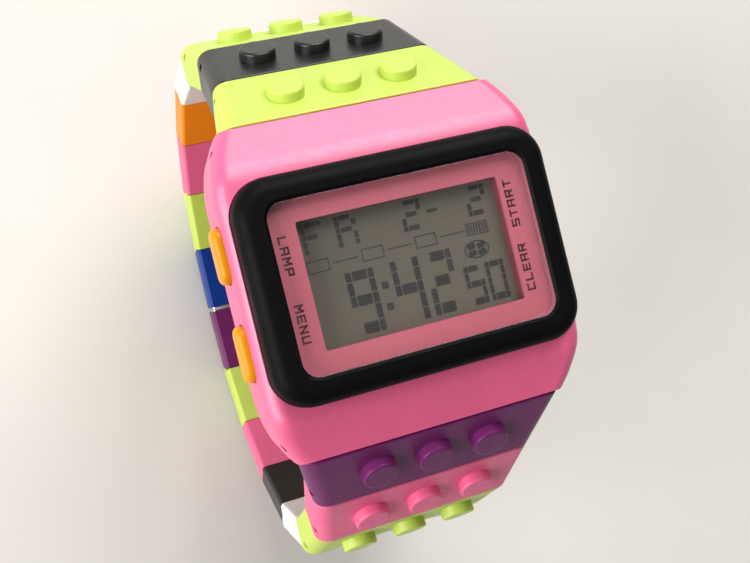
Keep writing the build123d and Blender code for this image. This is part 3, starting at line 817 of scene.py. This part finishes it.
sign_parts = [outline(chime_x, box_y, chime_width, box_height, mark_line)]
bar_pitch = chime_width / (chime_bars + 1)
for step in range(chime_bars):
    bar_x = chime_x - chime_width / 2 + bar_pitch * (step + 1)
    sign_parts.append(
        block(bar_x, box_y, bar_pitch * chime_bar_share, box_height - chime_bar_clearance)
    )
sign_parts.append(outline(oval_x, oval_y, oval_width, oval_height, oval_line, oval_corners))
for side in (-1, 1):
    for end in (-1, 1):
        sign_parts.append(
            block(
                oval_x + side * oval_width * oval_step_share,
                oval_y + end * oval_height * oval_step_share,
                oval_width * oval_part_share,
                oval_height * oval_part_share,
                oval_part_turn,
            )
        )
display_piece("display_signs", sign_parts)
bpy.data.objects.remove(blank)

# Shadow of the figures on the sheet behind them, seen a little aside
shades = []
for reading in readings:
    shade = bpy.data.objects.new("shade", reading.data.copy())
    bpy.context.collection.objects.link(shade)
    shade.location = (*shadow_shift, -shadow_sink)
    shades.append(shade)
display_shadow = join_as("display_shadow", shades)
fit_on_head(display_shadow, shade_ink)

# Floor and background
floor_side = 3.0
floor_drop = 0.05 * MM
paper_scale = 14.0
bpy.ops.object.select_all(action="DESELECT")
bpy.ops.mesh.primitive_plane_add(size=floor_side, location=(0.0, 0.0, -floor_drop))
floor = bpy.context.object
floor.name = "floor"
floor_finish = Finish("floor_paper")
paper = floor_finish.noise(paper_scale, detail=3.0)
floor_finish.colour(
    floor_finish.blend(
        floor_finish.between(paper, low=0.0, high=1.0), tone(216, 212, 205), tone(224, 220, 213)
    )
)
floor_finish.roughness(floor_finish.between(paper, low=0.7, high=0.8))
floor.data.materials.append(floor_finish.material)

world = bpy.data.worlds.new("studio")
bpy.context.scene.world = world
world.use_nodes = True
sky = world.node_tree.nodes["Background"]
sky.inputs["Color"].default_value = tone(246, 245, 243)

# Only the camera sees the pale background; all other rays meet a dimmer one
seen_strength = 0.80
ambient_strength = 0.18
rays = world.node_tree.nodes.new("ShaderNodeLightPath")
level = world.node_tree.nodes.new("ShaderNodeMapRange")
level.inputs["To Min"].default_value = ambient_strength
level.inputs["To Max"].default_value = seen_strength
world.node_tree.links.new(rays.outputs["Is Camera Ray"], level.inputs["Value"])
world.node_tree.links.new(level.outputs["Result"], sky.inputs["Strength"])


# Lamps
def soft_lamp(name, azimuth, elevation, distance, size, power):
    """A square soft lamp that faces the dial; azimuth 0 is towards 3 o'clock, 90 towards 12."""
    light = bpy.data.lights.new(name, "AREA")
    light.shape = "SQUARE"
    light.size = size
    light.energy = power
    lamp = bpy.data.objects.new(name, light)
    bpy.context.collection.objects.link(lamp)
    turn = math.radians(azimuth)
    rise = math.radians(elevation)
    direction = Vector(
        (math.cos(turn) * math.cos(rise), math.sin(turn) * math.cos(rise), math.sin(rise))
    )
    lamp.location = Vector((0.0, 0.0, window_plane)) + direction * distance
    lamp.rotation_mode = "QUATERNION"
    lamp.rotation_quaternion = direction.to_track_quat("Z", "Y")


soft_lamp("key_lamp", azimuth=72.0, elevation=38.0, distance=0.55, size=0.44, power=3.8)
soft_lamp("side_lamp", azimuth=185.0, elevation=24.0, distance=0.60, size=0.45, power=4.5)
soft_lamp("front_lamp", azimuth=300.0, elevation=35.0, distance=0.75, size=0.50, power=0.1)

# Camera at the photograph's angle: a turn given as its axis times radians, and a shift in
# millimetres. Both are for a frame whose origin lies in the middle of the display window
camera_turn = Vector((-0.0241, 0.3049, 0.2419))
camera_shift = Vector((3.9593, 2.1537, -124.325))
sensor_width = 36.0
focal_length = 53.916
nearest_seen = 0.01
farthest_seen = 10.0
turned = Matrix.Rotation(camera_turn.length, 3, camera_turn.normalized())
camera_place = -(turned.transposed() @ camera_shift) * MM + Vector((0.0, 0.0, window_plane))
camera = bpy.data.objects.new("camera", bpy.data.cameras.new("camera"))
bpy.context.collection.objects.link(camera)
camera.matrix_world = Matrix.Translation(camera_place) @ turned.transposed().to_4x4()
camera.data.sensor_width = sensor_width
camera.data.lens = focal_length
camera.data.clip_start = nearest_seen
camera.data.clip_end = farthest_seen
bpy.context.scene.camera = camera
bpy.context.scene.view_settings.view_transform = "Standard"
